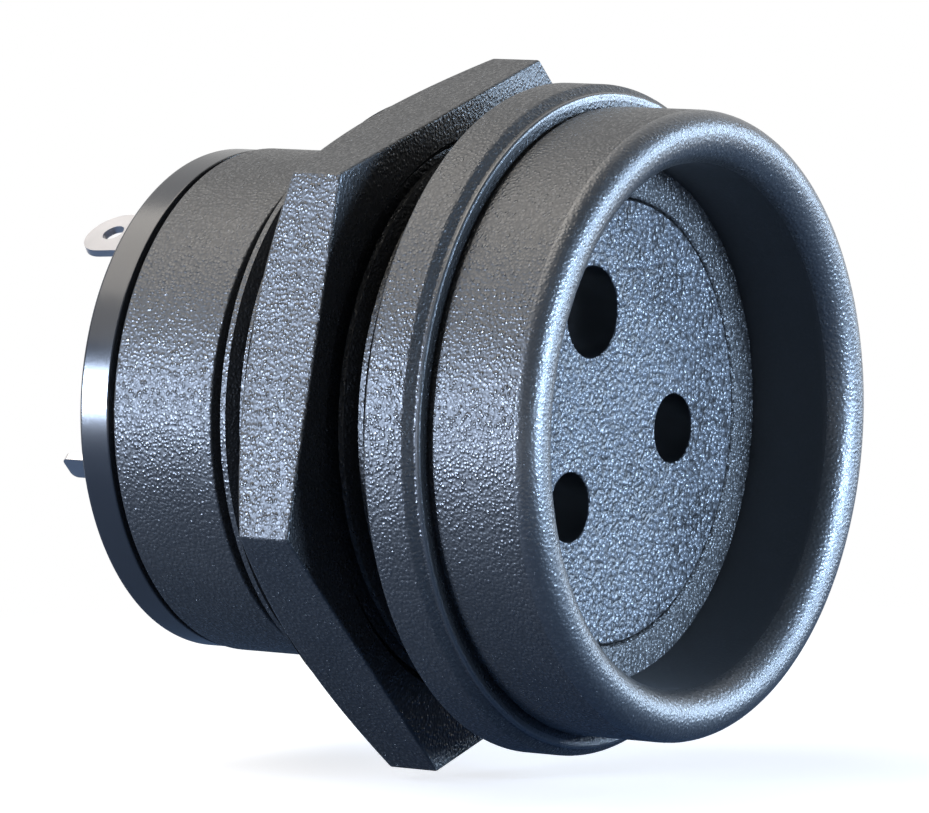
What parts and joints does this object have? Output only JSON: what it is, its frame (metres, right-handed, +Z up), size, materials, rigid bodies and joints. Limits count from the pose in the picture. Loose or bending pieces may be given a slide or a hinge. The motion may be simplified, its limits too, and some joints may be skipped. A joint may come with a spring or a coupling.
{
  "type": "circular power connector",
  "caption": "Panel-mounting round power connector: bell-mouthed shell with flange and threaded barrel, hexagon panel nut, and an insert with recessed socket contacts and solder tags.",
  "frame": {"origin": "on the connector's axis at the flange's rear face, where the panel sits", "axes": "Y is the connector's axis: -Y is the mouth where the plug goes in, +Y is behind the panel; +Z is up, with the earth contact near the top"},
  "size_m": [0.0356, 0.0372, 0.0358],
  "materials": {
    "shell_plastic": "fine spark-textured black thermoplastic",
    "insert_plastic": "fine spark-textured black thermoplastic",
    "rear_plastic": "smooth glossy black thermoplastic",
    "nut_plastic": "fine spark-textured black thermoplastic",
    "contact_metal": "silver-plated brass"
  },
  "bodies": {
    "connector": {"receptacle_shell": "shell_plastic", "contact_insert": "insert_plastic", "rear_insulator": "rear_plastic", "earth_contact": "contact_metal", "power_contact_a": "contact_metal", "power_contact_b": "contact_metal"},
    "nut": {"panel_nut": "nut_plastic"}
  },
  "joints": [
    {"name": "nut_turn", "type": "hinge", "parent": "connector", "child": "nut", "pos_m": [0, 0.006, 0], "axis": [0, 1, 0], "continuous": true}
  ]
}
